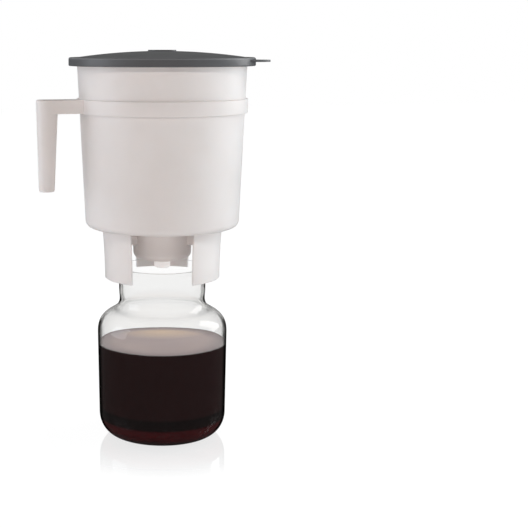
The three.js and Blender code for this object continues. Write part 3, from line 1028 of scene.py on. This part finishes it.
# Floor, world, lamps and camera
def build_floor():
    """A pale floor that stays white, with the object's soft shadow and a short faint reflection."""
    bpy.ops.mesh.primitive_plane_add(size=FLOOR_SIZE)
    floor = bpy.context.object
    floor.name = "floor"
    floor.location.z = -FLOOR_DROP
    made = bpy.data.materials.new("floor")
    tree = bare_tree(made, "Principled BSDF")
    reach = length(tree, coordinates(tree))
    along = ranged(tree, reach, MIRROR_START, MIRROR_END, smooth=False)
    mirror_level = MIRROR_SHARE / GLOSSY_SKY
    eased = calculated(tree, "POWER", along, MIRROR_FADE)
    fade = calculated(tree, "MULTIPLY_ADD", eased, -mirror_level, mirror_level)
    open_floor = ranged(tree, reach, DIP_START, DIP_END, DIP_SHARE, 1.0)
    level = calculated(tree, "MULTIPLY_ADD", fade, -GLOSSY_SKY, open_floor)
    glow = add(tree, "ShaderNodeEmission", Strength=level)
    shaded = add(tree, "ShaderNodeBsdfDiffuse", Color=(0.14, 0.14, 0.14))
    mirror = add(tree, "ShaderNodeBsdfGlossy", Roughness=0.03, Color=fade)
    seen = summed(tree, summed(tree, glow.outputs[0], shaded.outputs[0]), mirror.outputs[0])
    matt = add(tree, "ShaderNodeBsdfDiffuse", Color=(0.75, 0.74, 0.73))
    bounce = add(tree, "ShaderNodeEmission", Strength=FLOOR_BOUNCE)
    dim = add(tree, "ShaderNodeEmission", Strength=GLOSSY_FLOOR)
    lighting = summed(tree, matt.outputs[0], bounce.outputs[0])
    surface = by_ray(tree, lighting, dim.outputs[0], seen)
    put(tree, tree.nodes["Material Output"].inputs["Surface"], surface)
    floor.data.materials.append(made)


def build_world():
    """White where it is seen, and for everything that it lights a soft sky, brighter on the right."""
    world = bpy.data.worlds.new("studio")
    bpy.context.scene.world = world
    tree = bare_tree(world, "Background")
    direction = coordinates(tree, "Generated")
    a = math.radians(VIEW_AZIMUTH)
    right = (math.cos(a), math.sin(a), 0)
    across = add(tree, "ShaderNodeVectorMath", direction, right, operation="DOT_PRODUCT").outputs["Value"]
    height = upward(tree, direction)
    level = add(tree, "ShaderNodeMix", ranged(tree, height, ZENITH_START, ZENITH_END), data_type="FLOAT")
    put(tree, level.inputs[2], ranged(tree, across, -1, 1, SKY_LEFT, SKY_RIGHT, smooth=False))
    put(tree, level.inputs[3], SKY_TOP)
    sky = add(tree, "ShaderNodeBackground", Color=(1.0, 0.975, 0.965), Strength=level.outputs[0])
    lowest = GLOSSY_SKY * GLOSSY_HORIZON_SHARE
    horizon = ranged(tree, height, HORIZON_START, HORIZON_END, lowest, GLOSSY_SKY)
    glossy = add(tree, "ShaderNodeBackground", Color=(1, 1, 1), Strength=horizon)
    white = add(tree, "ShaderNodeBackground", Color=(1, 1, 1), Strength=1.0)
    surface = by_ray(tree, sky.outputs[0], glossy.outputs[0], white.outputs[0])
    put(tree, tree.nodes["World Output"].inputs["Surface"], surface)


def view_point(azimuth, distance, height):
    """A point seen from the axis at an azimuth: 0 is in front, along -Y."""
    a = math.radians(azimuth)
    return Vector((math.sin(a) * distance, -math.cos(a) * distance, height))


def hung(light, place, target, mirrored):
    """Hangs a lamp at a place and aims it at a target. It shows in reflections if it is mirrored."""
    lamp = bpy.data.objects.new(light.name, light)
    bpy.context.scene.collection.objects.link(lamp)
    lamp.location = place
    lamp.visible_glossy = mirrored
    lamp.rotation_euler = (target - lamp.location).to_track_quat("-Z", "Y").to_euler()
    return lamp


def softbox(name, turn, distance, height, width, tall, power, colour=(1, 1, 1), aim=0.22, mirrored=False):
    """A flat lamp, at some degrees from the view, that is aimed at a height on the axis."""
    light = bpy.data.lights.new(name, "AREA")
    light.shape = "RECTANGLE"
    light.size = width
    light.size_y = tall
    light.energy = power
    light.color = colour
    lamp = hung(light, view_point(VIEW_AZIMUTH + turn, distance, height), Vector((0, 0, aim)), mirrored)
    lamp.visible_transmission = False


def build_snoot():
    """A narrow lamp that looks up between the collar's legs, at the filter cup."""
    light = bpy.data.lights.new("snoot", "SPOT")
    light.energy = 1.0
    light.color = (1.0, 0.93, 0.89)
    light.spot_size = math.radians(6.8)
    light.spot_blend = 0.35
    light.shadow_soft_size = 0.01
    target = view_point(VIEW_AZIMUTH, FILTER_CUP_R * MM, (FILTER_CUP_Z + UNDERSIDE_Z) / 2 * MM)
    hung(light, view_point(VIEW_AZIMUTH, 0.5, 0.1), target, False)


def build_camera():
    """The photograph's view, in which the object stands left of the middle."""
    data = bpy.data.cameras.new("camera")
    data.lens = VIEW_LENS
    data.sensor_width = SENSOR_WIDTH
    data.shift_x = (FRAME_WIDTH / 2 - AXIS_COLUMN) / FRAME_WIDTH
    camera = bpy.data.objects.new("camera", data)
    bpy.context.scene.collection.objects.link(camera)
    camera.location = view_point(VIEW_AZIMUTH, VIEW_DISTANCE, VIEW_HEIGHT)
    camera.rotation_euler = (math.radians(90 - VIEW_PITCH), 0, math.radians(VIEW_AZIMUTH))
    bpy.context.scene.camera = camera


build_container()
build_lid()
build_stopper()
build_pad()
build_decanter()
build_coffee()
build_floor()
build_world()
# Each softbox: its turn, distance and height, its face's width and height, its power and its colour
softbox("left_box", -82, 1.1, 0.42, 0.7, 0.9, 3.4, (0.86, 0.93, 1.0), mirrored=True)
softbox("left_strip", -65, 1.3, 0.42, 0.5, 0.9, 1.6, (0.86, 0.91, 1.0))
softbox("right_box", 82, 1.1, 0.42, 0.7, 0.9, 6.1, (0.83, 0.93, 1.0))
softbox("left_rim", -118, 1.2, 0.75, 0.5, 1.0, 4.2)
softbox("right_rim", 112, 1.1, 0.7, 0.6, 1.0, 5.9, mirrored=True)
softbox("front_fill", -6, 1.9, 0.2, 1.2, 0.4, 3.7, (1.0, 0.8, 0.77))
softbox("front_key", 0, 1.6, 1.20, 0.16, 0.16, 8.0, (1.0, 0.94, 0.89), aim=0.35)
softbox("top_box", 0, 0.3, 1.5, 1.0, 1.0, 0.6, (0.85, 0.97, 1.0), aim=0.3)
build_snoot()
build_camera()
bpy.context.scene.view_settings.view_transform = "Standard"
